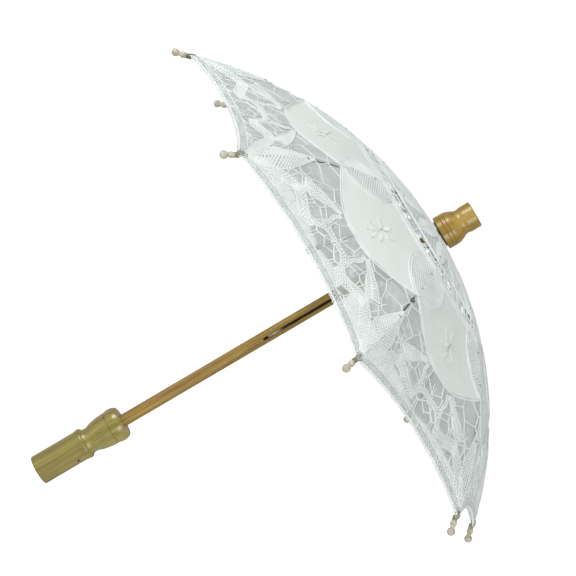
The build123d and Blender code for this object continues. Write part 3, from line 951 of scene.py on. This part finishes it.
thread_look = cotton("cotton_thread", (242, 248, 245), (228, 235, 232), 0.72, 0.25, 0.10)
net_look = cotton("net_thread", (221, 229, 228), (211, 220, 219), 0.8, 0.15, 0.05)
cord_look = cotton("cotton_cord", (246, 250, 248), (234, 240, 237), 0.66, 0.3, 0.14)
satin_look = cotton("satin_stitch", (238, 244, 240), (226, 234, 229), 0.42, 0.35, 0.05)
# The lashing thread's dark olive-grey is painted shade of the shadows between its turns.
lash_shade_look = cotton("lashing_thread_painted_shade", (178, 178, 156), (128, 128, 106), 0.75, 0.2, 0.10)
linen_look = linen_weave("linen", (238, 244, 240), (228, 236, 231))
handle_wood = turned_wood("handle_wood", (174, 162, 90), (152, 139, 68), (124, 109, 44), 0.34, 0.6)
finial_wood = turned_wood("finial_wood", (182, 154, 76), (166, 136, 56), (134, 102, 34), 0.34, 0.55)
shaft_wood = turned_wood("shaft_wood", (180, 150, 72), (154, 122, 44), (116, 84, 20), 0.34, 0.6, 1.6)
dark_steel = bare_metal("dark_steel", (92, 92, 92), (58, 58, 58), 0.45)
plated_steel = bare_metal("plated_steel", (176, 178, 178), (140, 142, 142), 0.3)
steel_wire = bare_metal("steel_wire", (150, 152, 152), (110, 112, 112), 0.35)
# The spring's near-black is painted shade of the shaft's slot.
spring_steel = sprung_foot("spring_steel", (158, 156, 146), (44, 38, 30))
frame_wire = bare_metal("frame_wire", (156, 164, 162), (116, 124, 122), 0.5)
tip_ivory = ivory("tip_ivory", (204, 200, 180), (160, 156, 134))
satin_steel = bare_metal("satin_steel", (184, 180, 158), (150, 146, 124), 0.6)

# ---- the CAD nodes that stay in view -------------------------------------------------
node_looks = {
    "shaft": shaft_wood,
    "handle": handle_wood,
    "finial": finial_wood,
    "handle_brad": dark_steel,
    "crown_washer": dark_steel,
    "top_notch": plated_steel,
    "notch_ring": steel_wire,
    "runner": satin_steel,
    "runner_ring": steel_wire,
    "catch_spring": spring_steel,
    "catch_pin": steel_wire,
}
for number in range(1, RIB_COUNT + 1):
    node_looks[f"rib_{number}"] = frame_wire
    node_looks[f"strut_{number}"] = frame_wire
    node_looks[f"rib_clip_{number}"] = plated_steel
    node_looks[f"rib_rivet_{number}"] = steel_wire
    node_looks[f"rib_tip_{number}"] = tip_ivory
for node, look in node_looks.items():
    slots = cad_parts[node].data.materials
    if len(slots):
        for index in range(len(slots)):
            slots[index] = look
    else:
        slots.append(look)

# ---- the canopy: lace, net, linen and the threads that tie it, a piece of each for a rib --
lace, net, linen, lashing = draw_lace(), draw_net(), draw_linen(), draw_lashing()


for rib in range(RIB_COUNT):
    number = rib + 1
    lace_piece = two_halves(f"lace_{number}", lace, rib, [thread_look, cord_look, satin_look])
    linen_piece = two_halves(f"linen_{number}", linen, rib, [linen_look, cord_look, satin_look])
    net_piece = two_halves(f"net_{number}", net, rib, [net_look])
    for piece in (lace_piece, net_piece, linen_piece):
        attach(piece, f"rib_{number}")
        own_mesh(piece)
    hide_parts(f"canopy_sector_{number}")
    lashing_piece = lashing_object(f"lashing_{number}", lashing, rib, lash_shade_look)
    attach(lashing_piece, f"rib_{number}")

# ---- floor, light and camera ------------------------------------------------------------
# Each light's place from the object's middle: to the camera's right, towards the camera, and up, in
# metres; then its size in metres and its power in watts.
FLOOR_SIZE = 8
WORLD_SHOWN, WORLD_LIT = 1.15, 0.37
KEY_LIGHT = ((-1.1, 0.6, 0.4), 0.6, 9.6)
FILL_LIGHT = ((0.9, 1.3, 0.4), 0.9, 11)
CLIP_START, CLIP_END = 0.05, 20


def studio_floor():
    """A pale floor under the handle, bright enough to run into the white background."""
    bpy.ops.mesh.primitive_plane_add(size=FLOOR_SIZE)
    floor = bpy.context.object
    floor.name = "floor"
    look = Look("floor_paint", Roughness=0.9)
    look.shader.inputs["Emission Color"].default_value = (1, 1, 1, 1)
    look.link(look.node("LightPath").outputs["Is Camera Ray"], look.shader.inputs["Emission Strength"])
    tone = look.noise(look.coordinates((1, 1, 1)), 3, 2)
    look.colour(look.ramp(tone, [(0.3, (0.90, 0.90, 0.90, 1)), (0.7, (0.93, 0.93, 0.93, 1))]))
    floor.data.materials.append(look.material)


def studio_world(shown, lit):
    """A white surround: what the camera sees, and how much light it gives."""
    world = bpy.data.worlds.new("studio")
    world.use_nodes = True
    bpy.context.scene.world = world
    tree = world.node_tree
    background = tree.nodes["Background"]
    background.inputs["Color"].default_value = (1, 1, 1, 1)
    path = tree.nodes.new("ShaderNodeLightPath")
    amount = tree.nodes.new("ShaderNodeMapRange")
    amount.inputs["To Min"].default_value = lit
    amount.inputs["To Max"].default_value = shown
    tree.links.new(path.outputs["Is Camera Ray"], amount.inputs["Value"])
    tree.links.new(amount.outputs["Result"], background.inputs["Strength"])


def area_light(name, place, target, size, power):
    """A soft square light at a place, facing a target."""
    light = bpy.data.lights.new(name, "AREA")
    light.size, light.energy = size, power
    item = bpy.data.objects.new(name, light)
    bpy.context.scene.collection.objects.link(item)
    turn = (place - target).to_track_quat("Z", "Y").to_matrix().to_4x4()
    item.matrix_world = Matrix.Translation(place) @ turn


VIEW_AZIMUTH = math.radians(-100.97)
VIEW_ELEVATION = 0.060
VIEW_ROLL = 1.0385
VIEW_DISTANCE = 1.3
LENS = 135.54
AIM_SIDE = -0.01845
AIM_HEIGHT = 0.18622

right = Vector((-math.sin(VIEW_AZIMUTH), math.cos(VIEW_AZIMUTH), 0))
back = Vector(
    (
        math.cos(VIEW_AZIMUTH) * math.cos(VIEW_ELEVATION),
        math.sin(VIEW_AZIMUTH) * math.cos(VIEW_ELEVATION),
        math.sin(VIEW_ELEVATION),
    )
)
up = back.cross(right)
aim = right * AIM_SIDE + Vector((0, 0, AIM_HEIGHT))

studio_floor()
studio_world(WORLD_SHOWN, WORLD_LIT)
centre = Vector((0, 0, (cad_box[0][2] + cad_box[1][2]) / 2))
for name, ((aside, near, above), size, power) in (("key", KEY_LIGHT), ("fill", FILL_LIGHT)):
    area_light(name, centre + right * aside + back * near + Vector((0, 0, above)), centre, size, power)

camera_data = bpy.data.cameras.new("camera")
camera_data.lens = LENS
camera_data.clip_start, camera_data.clip_end = CLIP_START, CLIP_END
camera = bpy.data.objects.new("camera", camera_data)
bpy.context.scene.collection.objects.link(camera)
turn_x = right * math.cos(VIEW_ROLL) + up * math.sin(VIEW_ROLL)
turn_y = up * math.cos(VIEW_ROLL) - right * math.sin(VIEW_ROLL)
turn = Matrix((turn_x, turn_y, back)).transposed().to_4x4()
camera.matrix_world = Matrix.Translation(aim + back * VIEW_DISTANCE) @ turn
bpy.context.scene.camera = camera
bpy.context.scene.view_settings.view_transform = "Standard"
